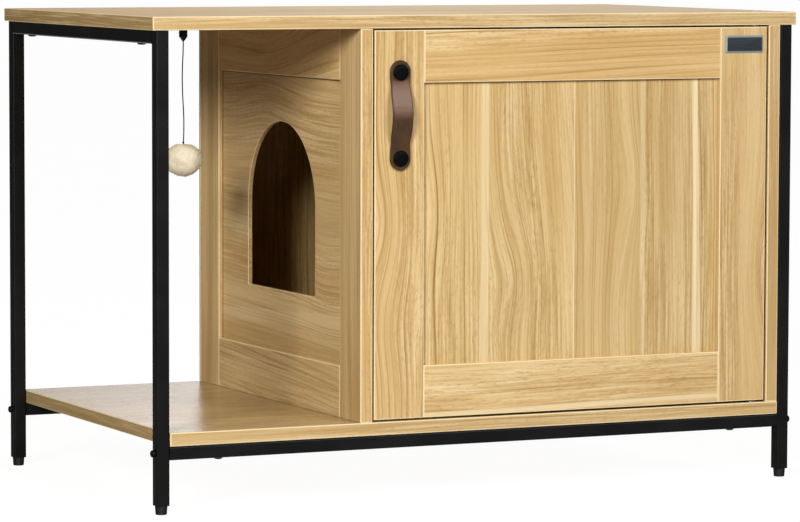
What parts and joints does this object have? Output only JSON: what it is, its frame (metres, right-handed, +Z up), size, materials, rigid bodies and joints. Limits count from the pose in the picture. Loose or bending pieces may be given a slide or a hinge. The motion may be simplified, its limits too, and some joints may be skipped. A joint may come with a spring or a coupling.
{
  "type": "cat house",
  "caption": "Low table on a square steel frame with a cabinet under one side, an arched cat entrance in its side wall, a hinged framed door and a hanging felt ball over the open shelf.",
  "frame": {"origin": "on the floor, in the middle of the outer box in X and Y", "axes": "+X to the right as seen from the front, with the cabinet at +X and the open shelf at -X; +Y to the back, the door faces -Y; +Z up"},
  "size_m": [0.805, 0.484, 0.545],
  "materials": {
    "oak_board": "satin oak-grain laminate",
    "oak_panel": "satin oak-grain laminate",
    "back_board": "thin oak-grain board",
    "black_steel": "satin black powder coat",
    "black_screws": "black zinc",
    "black_plastic": "matte",
    "zinc_steel": "bright zinc",
    "cam_zinc": "cast zinc",
    "beech_dowel": "plain",
    "strap_leather": "smooth brown leather",
    "black_cap": "satin black",
    "plate_metal": "dark bevelled metal",
    "white_plastic": "matte",
    "magnet_ceramic": "sintered ferrite",
    "cord_black": "thin round elastic cord",
    "felt": "wool felt"
  },
  "bodies": {
    "carcass": {"top_board": "oak_board", "shelf_board": "oak_board", "front_left_leg": "black_steel", "rear_left_leg": "black_steel", "front_right_leg": "black_steel", "rear_right_leg": "black_steel", "left_top_rail": "black_steel", "right_top_rail": "black_steel", "front_stretcher": "black_steel", "rear_stretcher": "black_steel", "feet": "black_plastic", "stretcher_inserts": "zinc_steel", "stretcher_bolts": "black_screws", "top_board_screws": "black_screws", "shelf_screws": "black_screws", "side_wall_front_stile": "oak_board", "side_wall_rear_stile": "oak_board", "side_wall_top_rail": "oak_board", "side_wall_bottom_rail": "oak_board", "arched_panel": "oak_panel", "right_wall": "oak_board", "back_panel": "back_board", "back_panel_screws": "zinc_steel", "wall_dowels": "beech_dowel", "wall_base_screws": "zinc_steel", "cam_bolts": "zinc_steel", "cam_locks": "cam_zinc", "hinge_pins": "zinc_steel", "catch_body": "white_plastic", "catch_magnet": "magnet_ceramic", "catch_pole_plates": "zinc_steel", "catch_screws": "zinc_steel", "toy_cap": "black_plastic", "toy_cap_stud": "zinc_steel"},
    "door": {"door_free_stile": "oak_board", "door_hinge_stile": "oak_board", "door_top_rail": "oak_board", "door_bottom_rail": "oak_board", "door_panel": "oak_panel", "handle_strap": "strap_leather", "handle_caps": "black_cap", "handle_screws": "zinc_steel", "blank_plate": "plate_metal", "hinge_bushes": "white_plastic", "strike_plate": "zinc_steel", "strike_screw": "zinc_steel"},
    "toy_swivel": {"toy_knot": "cord_black"},
    "toy": {"toy_cord": "cord_black", "toy_ball": "felt"}
  },
  "joints": [
    {"name": "door_hinge", "type": "hinge", "parent": "carcass", "child": "door", "pos_m": [0.352, -0.224, 0.31], "axis": [0, 0, 1], "range_deg": [0, 110]},
    {"name": "toy_side_swing", "type": "hinge", "parent": "carcass", "child": "toy_swivel", "pos_m": [-0.2705, 0.0045, 0.5113], "axis": [0, -1, 0], "range_deg": [-60, 38]},
    {"name": "toy_fore_swing", "type": "hinge", "parent": "toy_swivel", "child": "toy", "pos_m": [-0.2705, 0.0045, 0.5113], "axis": [1, 0, 0], "range_deg": [-60, 60]}
  ]
}
